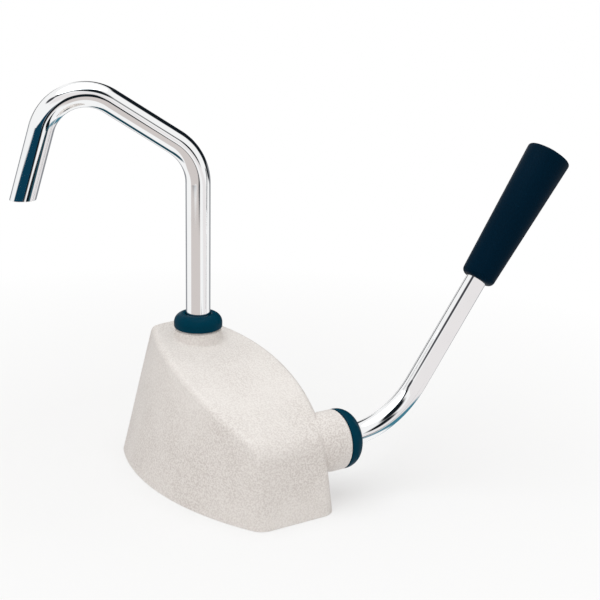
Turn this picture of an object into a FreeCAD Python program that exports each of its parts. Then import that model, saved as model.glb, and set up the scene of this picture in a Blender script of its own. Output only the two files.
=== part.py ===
"""Galley hand pump: a deck pump worked by a side lever, in separate pieces.

A hollow drafted casing holds a paddle that swings about the lever's end in its nose. The paddle lifts
water from a flap valve in the base, through a flap valve in its own blade, to a swivelling spout.
Frame: millimetres, +Z up, +X towards the nose, +Y towards the lever. The origin is on the deck,
under the axis of the spout's upright.
"""
import FreeCAD, Part
import math
import os

V = FreeCAD.Vector
X_AXIS, Y_AXIS, Z_AXIS = V(1, 0, 0), V(0, 1, 0), V(0, 0, 1)

# Casing, outside
nose_x = 108.5                # front face at the deck
back_x = -46.0                # rearmost point at the deck
half_width = 45.5             # at the deck, at the widest station
widest_x = 27.0
nose_margin = 3.3             # from the chamber's walls out to the sides at the nose
back_bow = 62.0               # radius of the rear wall in plan
side_draft = 12.0             # degrees that the sides lean in at the widest station
side_twist = 7.0              # degrees that takes off the draft towards the nose
front_draft = 9.0             # degrees that the front leans back
back_draft = 12.0             # degrees that the rear leans in
top_radius = 312.0            # bow of the sloping top, seen from the side
top_slope = 25.5              # degrees of the top where it meets the nose
front_corner = 10.0           # round of the front corners at the deck
rear_corner = 28.0            # round of the rear corners at the deck
edge_round = 4.2              # round along the top, which the corners fade to
wall = 3.0
lap = 1.0                     # reach of a fused or cut form into its neighbour

# Shaft and its boss
shaft_z = 33.0
shaft_back = 2.2              # shaft behind the middle of the nose's round
nose_round = 13.4             # round of the nose, seen from the side
boss_radius = 16.7
boss_proud = 15.8             # boss, out of the sides at the nose
boss_root = 13.4              # radius that the boss flares from, inside the nose
boss_flare = 13.0             # length of the flare
rim_chamfer = 1.1             # on the boss and on the turret
lever_od = 12.0
lever_wall = 1.5
running = 0.05                # radial clearance of a turning piece in its bush
slip = 0.1                    # gap between faces that turn past each other
bush_od = 18.0
bush_step = 1.0               # inner bush, smaller in radius than the outer one
inner_bush_length = 6.3
outer_bush_length = 11.0
end_play = 0.3                # lever's inner end to the end of its bush
neck_length = 6.0             # neck that a collar screws over
neck_wall = 2.5
neck_play = 0.2               # collar over the end of its neck

# Pump chamber
chamber_half = 16.0
chamber_wall = 3.0
rear_room = 29.5              # from the chamber's rear wall to the casing's rear
hub_pocket = 10.0             # radius of the chamber round the hub
roof_slope = 13.1             # degrees

# Paddle, drawn level and then turned to its rest
blade_rest = 0.5              # degrees that the blade rises to the rear while the lever is upright
hub_radius = 9.6
blade_thick = 5.0
side_margin = 3.2             # from the blade to the chamber's side walls
end_margin = 5.0              # from the blade to the chamber's rear wall
wipe_gap = 0.3                # seal to chamber wall
tongue = 1.6                  # depth and thickness of the tongue in the seal
washer_thick = 1.0
hub_pin_od = 4.0
rib_height = 2.0
rib_width = 2.0
port_in = 29.0                # valve ports in the blade, from the shaft
port_out = 47.0
port_width = 6.5
port_web = 3.0
hub_bore = 8.0                # where the blade starts inside the hub
root_reach = 20.0
root_half = 4.5
seal_start = 14.0
upper_rib_start = 54.0
lower_rib_start = 66.0
rib_margin = 5.0              # from the ribs to the blade's end
rib_pitch = 8.0
washer_radius = 9.4
hub_pin_half = 9.2

# Flap valves
flap_thick = 1.9
flap_pin_od = 2.0
barrel_od = 3.8
lip = 0.4                     # seat standing over its face
blade_hinge = 25.0            # hinge of the blade's flap, from the shaft
blade_flap_reach = 50.0
flap_play = 0.3               # flap to the ears beside it
inlet_back = 42.0             # centre of the inlet, back from the shaft
inlet_hinge = 15.5            # hinge of the inlet's flap, back from the inlet
inlet_flap_radius = 12.5
ear_half = 2.5                # half the width of a hinge ear
ear_in = 9.3                  # inlet ears, from the middle
ear_thick = 2.7
arm_half = 6.0
flap_lift = 0.25              # inlet flap over its boss
inlet_pin_z = 13.2
blade_ear_margin = 0.6        # from the ears to the blade's side
blade_ear_thick = 2.4
blade_pin_h = 4.6             # over the blade's middle
port_frame = 1.0              # seat round the ports
port_frame_end = 1.5
flap_rest = 0.05              # flap over its seat

# Base
plate_thick = 5.0
gasket_thick = 1.0
plate_gap = 0.3
inlet_boss_od = 30.0
inlet_boss_top = 11.0
inlet_insert_od = 26.0
inlet_insert_length = 8.5
inlet_thread = 18.6           # bore of the inlet's thread, G 1/2
seat_id = 16.0
seat_od = 24.0
seat_thick = 1.2              # sunk in the boss
seat_proud = 0.2
gasket_edge = 0.2
saddle_back = 9.0             # rear of the hub saddle, from the shaft
saddle_top = 25.0
screw_play = 0.25
deck_x = (0.0, 66.0)          # deck screws
deck_margin = 7.0             # deck screws, out from the chamber's walls
deck_post_od = 11.0
deck_insert_od = 7.0
deck_insert_length = 10.0
deck_thread = 4.2             # bore of an M5 thread
rear_screw = (16.0, 13.0)     # from the rear, and from the middle
side_screw = (33.0, 8.0)      # along X, and out from the chamber's walls
front_screw = (92.0, 4.2)
screw_od = 3.5
screw_head_od = 7.2
screw_length = 14.0
recess_arm = 2.2              # cross recess in a screw's head
recess_half = 0.4
recess_deep = 1.2
screw_post_od = 8.4
post_height = 28.0
rib_plate = 2.5

# Turret and spout
turret_top = 79.0
turret_radius = 13.3          # at its top
turret_lean = 10.0            # degrees that its side flares
turret_fillet = 1.5
socket_floor = 68.0           # shoulder under the spout
socket_shelf = 2.0
spout_od = 14.0
spout_wall = 1.0
socket_od = 19.0
spout_corner = 178.5          # height of the first corner of the spout's centre line
spout_rise = 33.0             # degrees, second run
spout_drop = 74.0             # degrees, third run
second_run = 90.5
third_run = 73.8
spout_bends = (28.0, 24.5)    # radii of the centre line
spout_turn = 20.0             # degrees in plan, from -Y towards -X

# Collars, lever and grip
collar_radius = 13.9
collar_height = 8.6
collar_top_round = 5.5
collar_foot_round = 1.2
lever_collar_length = 9.9
lever_collar_rim = 1.2        # straight part of the lever collar's side
lever_rise = 53.9             # degrees above level
lever_run = 36.6              # from the boss to where the lever's centre lines cross
lever_bend = 56.0
grip_start = 96.5             # from that corner
grip_length = 86.0
grip_small = 9.8              # radius at the lever's side
grip_large = 13.2             # radius at the free end
grip_dome = 2.0
grip_round = 1.8              # round of its free end
grip_foot_round = 1.8
grip_cover = 66.0             # length of tube inside the grip
plug_depth = 0.5              # plug in the lever's inner end
plug_length = 8.0
flange_thick = 2.0
flange_play = 0.2             # flange to its socket
collar_play = 0.5
collar_eye = 8.2              # lever collar's rim round the lever


def tan(angle):
    return math.tan(math.radians(angle))


def sin(angle):
    return math.sin(math.radians(angle))


def cos(angle):
    return math.cos(math.radians(angle))


tall = turret_top + boss_radius
nose_at = V(nose_x - shaft_z * tan(front_draft) - nose_round / cos(front_draft), 0, shaft_z)
shaft_x = nose_at.x - shaft_back
shaft_at = V(shaft_x, 0, shaft_z)
lever_r = lever_od / 2
bush_r = bush_od / 2
block_half = chamber_half + chamber_wall
nose_half = block_half + nose_margin
boss_end = nose_half + boss_proud
neck_end = boss_end + neck_length
sweep_radius = shaft_x - back_x - rear_room
rim_z = plate_thick + gasket_thick
inner_bush_r = bush_r - bush_step
inner_bush_end = chamber_half + inner_bush_length
outer_bush_end = chamber_half + outer_bush_length
lever_inner_end = inner_bush_end - end_play
lever_corner_at = V(shaft_x, boss_end + lever_run, shaft_z)
lever_out = V(0, cos(lever_rise), sin(lever_rise))

blade_half_thick = blade_thick / 2
blade_half = chamber_half - side_margin
blade_reach = sweep_radius - end_margin
hub_half = chamber_half - washer_thick - 2 * slip
rib_end = blade_reach - rib_margin
blade_ear_out = blade_half - blade_ear_margin
blade_ear_in = blade_ear_out - blade_ear_thick
blade_flap_half = blade_ear_in - flap_play

inlet_x = shaft_x - inlet_back
seat_foot = inlet_boss_top - seat_thick
ear_out = ear_in + ear_thick
barrel_half = ear_in - flap_play
deck_y = block_half + deck_margin
screw_at = ((back_x + rear_screw[0], rear_screw[1]),
            (side_screw[0], block_half + side_screw[1]),
            (front_screw[0], block_half + front_screw[1]))

spout_r = spout_od / 2
socket_r = socket_od / 2
socket_end = turret_top + neck_length
o_ring = socket_r - spout_r - running
stack_foot = socket_floor + flange_thick + 2 * running + washer_thick
shaft_o_ring = bush_r - lever_r - running


def cylinder(radius, z0, z1, x=0, y=0):
    return Part.makeCylinder(radius, z1 - z0, V(x, y, z0))


def ring(outer, inner, z0, z1, x=0, y=0):
    return cylinder(outer, z0, z1, x, y).cut(cylinder(inner, z0, z1, x, y))


def box(x0, x1, y0, y1, z0, z1):
    return Part.makeBox(x1 - x0, y1 - y0, z1 - z0, V(x0, y0, z0))


def slab(x0, x1, half, z0, z1):
    return box(x0, x1, -half, half, z0, z1)


def across(radius, y0, y1, x=shaft_x, z=shaft_z):
    """Return a cylinder along Y."""
    return Part.makeCylinder(radius, y1 - y0, V(x, y0, z), Y_AXIS)


def across_ring(outer, inner, y0, y1, x=shaft_x, z=shaft_z):
    return across(outer, y0, y1, x, z).cut(across(inner, y0, y1, x, z))


def torus(x, y, z, inner, section, axis):
    radius = section / 2
    return Part.makeTorus(inner + radius, radius, V(x, y, z), axis)


def extruded(edges, half):
    """Return the solid that an outline in the X-Z plane sweeps, half to each side."""
    face = Part.Face(Part.Wire(edges))
    face.translate(V(0, -half, 0))
    return face.extrude(V(0, 2 * half, 0))


def polar(angle, radius, centre=shaft_at):
    """Return the point in the X-Z plane at an angle above +X from a centre."""
    return centre + V(radius * cos(angle), 0, radius * sin(angle))


def fuse(shapes):
    first, rest = shapes[0], shapes[1:]
    return first.multiFuse(rest).removeSplitter() if rest else first


def both_sides(shape):
    return [shape, shape.mirror(V(0, 0, 0), Y_AXIS)]


def shared_edges(shape, is_first, is_second):
    """Return the edges where a face of one kind meets a face of another."""
    found = []
    for edge in shape.Edges:
        faces = [face for face in shape.Faces if any(edge.isSame(e) for e in face.Edges)]
        if len(faces) == 2:
            one, two = faces
            if (is_first(one) and is_second(two)) or (is_first(two) and is_second(one)):
                found.append(edge)
    return found


def face_kind(kind, test=lambda surface: True):
    return lambda face: type(face.Surface).__name__ == kind and test(face.Surface)


is_flank = face_kind("Cylinder", lambda s: abs(s.Axis.z) > 0.5)
is_rear = face_kind("Cone")
is_front = face_kind("Plane", lambda s: abs(s.Axis.x) > 0.5)
is_top = face_kind("Cylinder", lambda s: abs(s.Axis.y) > 0.5 and s.Radius > top_radius / 2)


def flank(inset):
    """Return the space inside the +Y side, which lies on a leaning cylinder.

    The cylinder cuts the deck in an ellipse that is widest at widest_x and runs through the corner
    where the side would meet the front.
    """
    lean = V(tan(side_twist), -tan(side_draft), 1)
    ax, ay = lean.x / lean.Length, lean.y / lean.Length
    fall, run = half_width - nose_half, nose_x - widest_x
    narrow = 1 - ay * ay - (ax * ay) ** 2 / (1 - ax * ax)
    chord = run * run * (1 - ax * ax) + fall * fall * (1 - ay * ay) + 2 * run * fall * ax * ay
    bow = chord / (2 * narrow * fall)
    foot = V(widest_x - bow * ax * ay / (1 - ax * ax), half_width - bow, 0)
    radius = bow * math.sqrt(narrow) - inset
    return Part.makeCylinder(radius, 2 * tall * lean.Length, foot - lean * tall / 2, lean)


def rear_space(inset):
    """Return the space in front of the bowed rear."""
    at_deck = back_bow - inset / cos(back_draft)
    middle = V(back_x + back_bow, 0, 0)
    rear = Part.makeCone(at_deck, at_deck - tall * tan(back_draft), tall, middle)
    return rear.fuse(slab(middle.x, 2 * nose_x, half_width + wall, 0, tall))


def side_profile(inset):
    """Return the space under the top, round the nose and behind the front, as an extrusion."""
    radius, bowed = nose_round - inset, top_radius - inset
    bend = 90 - top_slope
    crown_end = polar(bend, radius, nose_at)
    top_middle = polar(bend, nose_round - top_radius, nose_at)
    rear_angle = bend + math.degrees((nose_at.x - back_x + nose_round) / top_radius)
    on_top = lambda angle: top_middle + V(bowed * cos(angle), 0, bowed * sin(angle))
    rear = on_top(rear_angle)
    nose_end = polar(front_draft, radius, nose_at)
    toe = V(nose_end.x + nose_end.z * tan(front_draft), 0, 0)
    heel = V(rear.x, 0, 0)
    return extruded([Part.makeLine(heel, rear),
                     Part.Arc(rear, on_top((rear_angle + bend) / 2), crown_end).toShape(),
                     Part.Arc(crown_end, polar((bend + front_draft) / 2, radius, nose_at),
                              nose_end).toShape(),
                     Part.makeLine(nose_end, toe),
                     Part.makeLine(toe, heel)], half_width + wall)


def casing_space(inset):
    """Return the casing's outer form, moved in by inset on every side but the deck."""
    sides = both_sides(flank(inset))
    form = side_profile(inset).common(sides[0]).common(sides[1])
    return form.common(rear_space(inset)).removeSplitter()


def round_from_deck(shape, edges, at_deck):
    """Round an upright edge and the edges that run on from it, the round fading to edge_round."""
    start, end = edges[0].Vertexes
    radii = (at_deck, edge_round) if start.Z < end.Z else (edge_round, at_deck)
    return shape.makeFillet(*radii, edges)


def casing_outside():
    """Return the rounded outer form. Each half is rounded, then both are joined."""
    near = box(2 * back_x, 2 * nose_x, 0, 2 * half_width, 0, tall)
    half = casing_space(0).common(near).removeSplitter()
    half = round_from_deck(half, shared_edges(half, is_rear, is_flank), rear_corner)
    half = round_from_deck(half, shared_edges(half, is_front, is_flank), front_corner)
    return fuse(both_sides(half))


def turret():
    foot = socket_floor - socket_shelf
    side = cylinder(turret_radius, turret_top - 2 * rim_chamfer, turret_top)
    side = side.makeChamfer(rim_chamfer, [e for e in side.Edges if on_height(e, turret_top)])
    drop = turret_top - 2 * rim_chamfer - foot
    flare = Part.makeCone(turret_radius + drop * tan(turret_lean), turret_radius, drop, V(0, 0, foot))
    return fuse([flare, side, cylinder(socket_r + neck_wall, foot, socket_end)])


def on_height(edge, z):
    return all(abs(v.Z - z) < 0.001 for v in edge.Vertexes)


def boss():
    """Return the lever's boss and the neck that its collar screws over."""
    start = block_half - 2 * lap
    flare = Part.makeCone(boss_root, boss_radius, boss_flare, V(shaft_x, start, shaft_z), Y_AXIS)
    side = across(boss_radius, start + boss_flare, boss_end)
    rim = [e for e in side.Edges if all(abs(v.Y - boss_end) < 0.001 for v in e.Vertexes)]
    return fuse([flare, side.makeChamfer(rim_chamfer, rim), across(bush_r + neck_wall, start, neck_end)])


def chamber():
    """Return the hollow that the paddle sweeps, open at the base."""
    top_angle = 90 - roof_slope
    over_hub = polar(top_angle, hub_pocket)
    run = math.sqrt(sweep_radius ** 2 - hub_pocket ** 2)
    corner = over_hub + V(-run * cos(roof_slope), 0, run * sin(roof_slope))
    rear_foot = V(shaft_x - math.sqrt(sweep_radius ** 2 - shaft_z ** 2), 0, 0)
    front_foot = V(shaft_x + hub_pocket, 0, 0)
    return extruded([Part.makeLine(front_foot, polar(0, hub_pocket)),
                     Part.Arc(polar(0, hub_pocket), polar(top_angle / 2, hub_pocket), over_hub).toShape(),
                     Part.makeLine(over_hub, corner),
                     Part.Arc(corner, polar(180, sweep_radius), rear_foot).toShape(),
                     Part.makeLine(rear_foot, front_foot)], chamber_half)


def chamber_block():
    """Return the walls round the chamber as one block, from their rim up."""
    rear = across(sweep_radius + chamber_wall, -block_half, block_half)
    rear = rear.common(slab(2 * back_x, shaft_x, block_half, rim_z, 2 * tall))
    return rear.fuse(slab(shaft_x, nose_x, block_half, rim_z, tall))


def screw_places():
    return [(x, side * y) for x, y in screw_at for side in (1, -1)]


def deck_places():
    return [(x, side * deck_y) for x in deck_x for side in (1, -1)]


def casing_inside():
    """Return the hollow between the outer wall and the chamber's, less its posts and ribs."""
    solid = [chamber_block()]
    solid += [cylinder(screw_post_od / 2, plate_thick, post_height, x, y) for x, y in screw_places()]
    solid += [cylinder(deck_post_od / 2, 0, post_height, x, y) for x, y in deck_places()]
    half_rib = rib_plate / 2
    for x in sorted(set(deck_x) | {screw_at[1][0]}):
        solid.append(slab(x - half_rib, x + half_rib, half_width, rim_z, tall))
    rear_y = screw_at[0][1]
    for y in (rear_y, -rear_y):
        solid.append(box(back_x, shaft_x - sweep_radius, y - half_rib, y + half_rib, rim_z, tall))
    solid.append(across(boss_radius - wall, block_half - lap, boss_end - wall))
    solid.append(across(bush_r + neck_wall, -inner_bush_end - wall / 2, -block_half + lap))
    return casing_space(wall).cut(solid)


def body_casing():
    body = casing_outside().fuse(turret()).removeSplitter()
    if turret_fillet:
        body = body.makeFillet(turret_fillet, shared_edges(body, is_top, is_rear))
    body = body.fuse(boss()).removeSplitter()
    holes = [chamber(), casing_inside(),
             across(bush_r, chamber_half - lap, neck_end),
             across(inner_bush_r, -inner_bush_end, -chamber_half + lap),
             cylinder(socket_r, socket_floor, socket_end),
             cylinder(spout_r - spout_wall, socket_floor - 3 * socket_shelf, socket_floor)]
    holes += [cylinder(deck_insert_od / 2, 0, deck_insert_length, x, y) for x, y in deck_places()]
    holes += [cylinder(screw_od / 2, 0, screw_length + lap, x, y) for x, y in screw_places()]
    return body.cut(holes)


def on_rest(shape):
    """Turn a piece drawn on the level paddle to the paddle's rest."""
    shape.rotate(shaft_at, Y_AXIS, blade_rest)
    return shape


def level(r0, r1, half, h0, h1):
    """Return a slab on the level paddle: from r0 to r1 behind the shaft, h0 to h1 above it."""
    return slab(shaft_x - r1, shaft_x - r0, half, shaft_z + h0, shaft_z + h1)


def level_pair(r0, r1, y0, y1, h0, h1):
    return both_sides(box(shaft_x - r1, shaft_x - r0, y0, y1, shaft_z + h0, shaft_z + h1))


def countersunk(head, shank, depth):
    """Return a countersunk screw's form, its head's face on the deck."""
    cone = Part.makeCone(head, shank, head - shank)
    return cone.fuse(cylinder(shank, 0, depth))


def base_plate():
    """Return the plate that closes the base, with the inlet's boss, its hinge ears and the hub saddle."""
    plate = casing_space(wall + plate_gap).common(slab(2 * back_x, 2 * nose_x, tall, 0, plate_thick))
    hinge_x = inlet_x - inlet_hinge
    solid = [plate, cylinder(inlet_boss_od / 2, 0, inlet_boss_top, inlet_x)]
    ear_top = inlet_pin_z + barrel_od / 2
    solid += both_sides(box(hinge_x - ear_half, hinge_x + ear_half, ear_in, ear_out, 0, ear_top))
    saddle_front = shaft_x + hub_pocket - plate_gap
    solid.append(slab(shaft_x - saddle_back, saddle_front, chamber_half - plate_gap, 0, saddle_top))
    holes = [across(hub_pocket, -chamber_half, chamber_half),
             cylinder(inlet_insert_od / 2, 0, inlet_insert_length, inlet_x),
             cylinder(seat_id / 2, 0, inlet_boss_top, inlet_x),
             cylinder(seat_od / 2, seat_foot, inlet_boss_top, inlet_x),
             across(flap_pin_od / 2, -ear_out, ear_out, hinge_x, inlet_pin_z)]
    holes += [cylinder(deck_post_od / 2 + plate_gap, 0, plate_thick, x, y) for x, y in deck_places()]
    for x, y in screw_places():
        hole = countersunk(screw_head_od / 2, screw_od / 2 + screw_play, plate_thick)
        hole.translate(V(x, y, 0))
        holes.append(hole)
    return fuse(solid).cut(holes)


def base_gasket():
    """Return the flat gasket between the plate and the rim of the chamber."""
    reach = math.sqrt(sweep_radius ** 2 - (shaft_z - rim_z) ** 2)
    inner = slab(shaft_x - reach + gasket_edge, shaft_x + hub_pocket + gasket_edge,
                 chamber_half + gasket_edge, plate_thick, rim_z)
    outer = slab(shaft_x - reach - chamber_wall + gasket_edge, shaft_x + hub_pocket + chamber_wall,
                 block_half - gasket_edge, plate_thick, rim_z)
    return outer.cut(inner)


def base_screws():
    screws = []
    for x, y in screw_places():
        screw = countersunk(screw_head_od / 2, screw_od / 2, screw_length)
        screw = screw.cut([slab(-recess_arm, recess_arm, recess_half, 0, recess_deep),
                           slab(-recess_half, recess_half, recess_arm, 0, recess_deep)])
        screw.translate(V(x, y, 0))
        screws.append(screw)
    return Part.makeCompound(screws)


def deck_inserts():
    return Part.makeCompound([ring(deck_insert_od / 2, deck_thread / 2, 0, deck_insert_length, x, y)
                              for x, y in deck_places()])


def inlet_insert():
    return ring(inlet_insert_od / 2, inlet_thread / 2, 0, inlet_insert_length, inlet_x)


def inlet_seat_ring():
    return ring(seat_od / 2, seat_id / 2, seat_foot, seat_foot + seat_thick + seat_proud, inlet_x)


def inlet_flap():
    """Return the disc that rests on the seat, with its arm and the barrel of its hinge."""
    foot = inlet_boss_top + flap_lift
    hinge_x = inlet_x - inlet_hinge
    arm = slab(hinge_x, inlet_x, arm_half, foot, foot + flap_thick)
    flap = fuse([cylinder(inlet_flap_radius, foot, foot + flap_thick, inlet_x), arm,
                 across(barrel_od / 2, -barrel_half, barrel_half, hinge_x, inlet_pin_z)])
    return flap.cut(across(flap_pin_od / 2 + running, -barrel_half, barrel_half, hinge_x, inlet_pin_z))


def inlet_flap_pin():
    return across(flap_pin_od / 2, -ear_out, ear_out, inlet_x - inlet_hinge, inlet_pin_z)


def blade_level():
    """Return the level paddle's blade with the tongue round its edge."""
    thin = tongue / 2
    plate = level(hub_bore, blade_reach, blade_half, -blade_half_thick, blade_half_thick)
    return fuse([plate, level(seal_start, blade_reach + tongue, blade_half + tongue, -thin, thin)])


def paddle():
    hub = across(hub_radius, -hub_half, hub_half)
    root = level(hub_bore, root_reach, blade_half, -root_half, root_half)
    hinge_r0, hinge_r1 = blade_hinge - ear_half, blade_hinge + ear_half
    top = blade_half_thick
    seat_half = port_web / 2 + port_width + port_frame
    seat = level(port_in - port_frame, port_out + port_frame_end, seat_half, 0, top + lip)
    ears = level_pair(hinge_r0, hinge_r1, blade_ear_in, blade_ear_out, 0, blade_pin_h + barrel_od / 2)
    ribs = []
    for y in (-rib_pitch, 0, rib_pitch):
        for start, low, high in ((upper_rib_start, 0, top + rib_height),
                                 (lower_rib_start, -top - rib_height, 0)):
            ribs.append(box(shaft_x - rib_end, shaft_x - start, y - rib_width / 2, y + rib_width / 2,
                            shaft_z + low, shaft_z + high))
    body = fuse([hub, root, blade_level(), seat] + ears + ribs)
    holes = [across(lever_r, -hub_half, hub_half), cylinder(hub_pin_od / 2, 0, tall, shaft_x),
             across(flap_pin_od / 2, -blade_ear_out, blade_ear_out,
                    shaft_x - blade_hinge, shaft_z + blade_pin_h)]
    web = port_web / 2
    holes += level_pair(port_in, port_out, web, web + port_width, -blade_thick, blade_thick)
    return on_rest(body.cut(holes))


def paddle_seal():
    """Return the rubber strip that runs round the blade's three free edges and wipes the chamber."""
    strip = level(seal_start, sweep_radius - wipe_gap, chamber_half - wipe_gap,
                  -blade_half_thick, blade_half_thick)
    return on_rest(strip.cut(blade_level()))


def paddle_flap():
    foot = blade_half_thick + lip + flap_rest
    flap = fuse([level(blade_hinge, blade_flap_reach, blade_flap_half, foot, foot + flap_thick),
                 across(barrel_od / 2, -blade_flap_half, blade_flap_half,
                        shaft_x - blade_hinge, shaft_z + blade_pin_h)])
    bore = across(flap_pin_od / 2 + running, -blade_flap_half, blade_flap_half,
                  shaft_x - blade_hinge, shaft_z + blade_pin_h)
    return on_rest(flap.cut(bore))


def paddle_flap_pin():
    return on_rest(across(flap_pin_od / 2, -blade_ear_out, blade_ear_out,
                          shaft_x - blade_hinge, shaft_z + blade_pin_h))


def hub_washers():
    start = hub_half + slip
    one = across_ring(washer_radius, lever_r + running, start, start + washer_thick)
    return Part.makeCompound(both_sides(one))


def hub_pin():
    return on_rest(cylinder(hub_pin_od / 2, shaft_z - hub_pin_half, shaft_z + hub_pin_half, shaft_x))


def bent_path(corners, radii):
    """Return a wire of straight runs through the corners, joined by arcs."""
    edges, start = [], corners[0]
    for before, corner, after, radius in zip(corners, corners[1:], corners[2:], radii):
        into, out = (corner - before).normalize(), (after - corner).normalize()
        turn = into.getAngle(out)
        reach = radius * math.tan(turn / 2)
        first, last = corner - into * reach, corner + out * reach
        inward = (out - into).normalize()
        middle = corner + inward * (radius / math.cos(turn / 2) - radius)
        edges += [Part.makeLine(start, first), Part.Arc(first, middle, last).toShape()]
        start = last
    return Part.Wire(edges + [Part.makeLine(start, corners[-1])])


def tube(corners, radii, outer, inner):
    """Return a bent tube. Its outer and inner forms are swept apart and cut."""
    path = bent_path(corners, radii)
    forms = []
    for r in (outer, inner):
        rim = Part.makeCircle(r, corners[0], corners[1] - corners[0])
        forms.append(path.makePipe(Part.Face(Part.Wire(rim))))
    return forms[0].cut(forms[1])


def turned(points, axis_at, axis):
    """Return the solid of revolution of a closed outline of (radius, height) lines and arcs."""
    edges = []
    for piece in points:
        ends = [V(r, 0, h) for r, h in piece]
        edges.append(Part.makeLine(*ends) if len(ends) == 2 else Part.Arc(*ends).toShape())
    body = Part.Face(Part.Wire(edges)).revolve(V(0, 0, 0), Z_AXIS, 360)
    body.Placement = FreeCAD.Placement(axis_at, FreeCAD.Rotation(Z_AXIS, axis))
    return body


def lever():
    start = V(shaft_x, -lever_inner_end, shaft_z)
    end = lever_corner_at + lever_out * (grip_start + grip_cover)
    body = tube([start, lever_corner_at, end], [lever_bend], lever_r, lever_r - lever_wall)
    return body.cut(on_rest(cylinder(hub_pin_od / 2, 0, tall, shaft_x)))


def lever_plug():
    start = plug_depth - lever_inner_end
    return across(lever_r - lever_wall, start, start + plug_length)


def grip():
    """Return the tapered grip, domed at its free end, with the bore that takes the lever."""
    end, knee = grip_length - grip_dome, grip_large - grip_round
    dome_radius = (knee ** 2 + grip_dome ** 2) / (2 * grip_dome)
    half = math.asin(knee / dome_radius) / 2
    on_dome = (dome_radius * math.sin(half), grip_length - dome_radius * (1 - math.cos(half)))
    outline = [((0, 0), (grip_small - grip_foot_round, 0)),
               ((grip_small - grip_foot_round, 0),
                (grip_small - 0.3 * grip_foot_round, 0.3 * grip_foot_round),
                (grip_small, grip_foot_round)),
               ((grip_small, grip_foot_round), (grip_large, end - grip_round)),
               ((grip_large, end - grip_round), (grip_large - 0.3 * grip_round, end - 0.3 * grip_round),
                (knee, end)),
               ((knee, end), on_dome, (0, grip_length)),
               ((0, grip_length), (0, 0))]
    body = turned(outline, lever_corner_at + lever_out * grip_start, lever_out)
    bore = Part.makeCylinder(lever_r, grip_cover, lever_corner_at + lever_out * grip_start, lever_out)
    return body.cut(bore)


def shaft_bush_inner():
    return across_ring(inner_bush_r, lever_r + running, -inner_bush_end, -chamber_half)


def shaft_bush_outer():
    return across_ring(bush_r, lever_r + running, chamber_half, outer_bush_end)


def shaft_o_rings():
    first = outer_bush_end + slip + shaft_o_ring / 2
    return Part.makeCompound([torus(shaft_x, y, shaft_z, lever_r + running, shaft_o_ring, Y_AXIS)
                              for y in (first, first + shaft_o_ring + slip)])


def shaft_gland_bush():
    start = outer_bush_end + 2 * shaft_o_ring + 3 * slip
    return across_ring(bush_r, lever_r + running, start, neck_end)


def lever_collar():
    """Return the domed collar that screws over the boss's neck."""
    hole = lever_r + collar_play
    low, drop = collar_eye, boss_radius - collar_eye
    run = lever_collar_length - lever_collar_rim
    curve = [(low + drop * math.sqrt(1 - t * t), lever_collar_rim + run * t)
             for t in (0, 0.38, 0.7, 0.9, 1)]
    outline = [((hole, 0), (boss_radius, 0)), ((boss_radius, 0), (boss_radius, lever_collar_rim)),
               (curve[0], curve[1], curve[2]), (curve[2], curve[3], curve[4]),
               (curve[4], (hole, lever_collar_length)), ((hole, lever_collar_length), (hole, 0))]
    body = turned(outline, V(shaft_x, boss_end, shaft_z), Y_AXIS)
    return body.cut(across(bush_r + neck_wall, boss_end, neck_end + neck_play))


def spout():
    turn = V(-sin(spout_turn), -cos(spout_turn), 0)
    foot = V(0, 0, socket_floor + running)
    corner = V(0, 0, spout_corner)
    high = corner + turn * (second_run * cos(spout_rise)) + Z_AXIS * (second_run * sin(spout_rise))
    fall = turn * cos(spout_drop) - Z_AXIS * sin(spout_drop)
    tip = high + fall * third_run
    body = tube([foot, corner, high, tip + fall * spout_od], spout_bends, spout_r, spout_r - spout_wall)
    around = 2 * spout_od
    return body.cut(box(tip.x - around, tip.x + around, tip.y - around, tip.y + around,
                        tip.z - around, tip.z))


def spout_flange():
    foot = socket_floor + running
    return ring(socket_r - flange_play, spout_r, foot, foot + flange_thick)


def spout_thrust_washer():
    return ring(socket_r, spout_r + running, stack_foot - washer_thick, stack_foot)


def spout_o_rings():
    first = stack_foot + slip + o_ring / 2
    return Part.makeCompound([torus(0, 0, z, spout_r + running, o_ring, Z_AXIS)
                              for z in (first, first + o_ring + slip)])


def spout_bush():
    return ring(socket_r, spout_r + running, stack_foot + 2 * o_ring + 3 * slip, socket_end)


def spout_collar():
    """Return the rounded collar that screws over the turret's neck."""
    body = ring(collar_radius, spout_r + collar_play / 2, turret_top, turret_top + collar_height)
    outer = [e for e in body.Edges if abs(e.BoundBox.XLength - 2 * collar_radius) < 0.01]
    top = [e for e in outer if on_height(e, turret_top + collar_height)]
    foot = [e for e in outer if on_height(e, turret_top)]
    body = body.makeFillet(collar_top_round, top).makeFillet(collar_foot_round, foot)
    return body.cut(cylinder(socket_r + neck_wall, turret_top, socket_end + neck_play))


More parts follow.
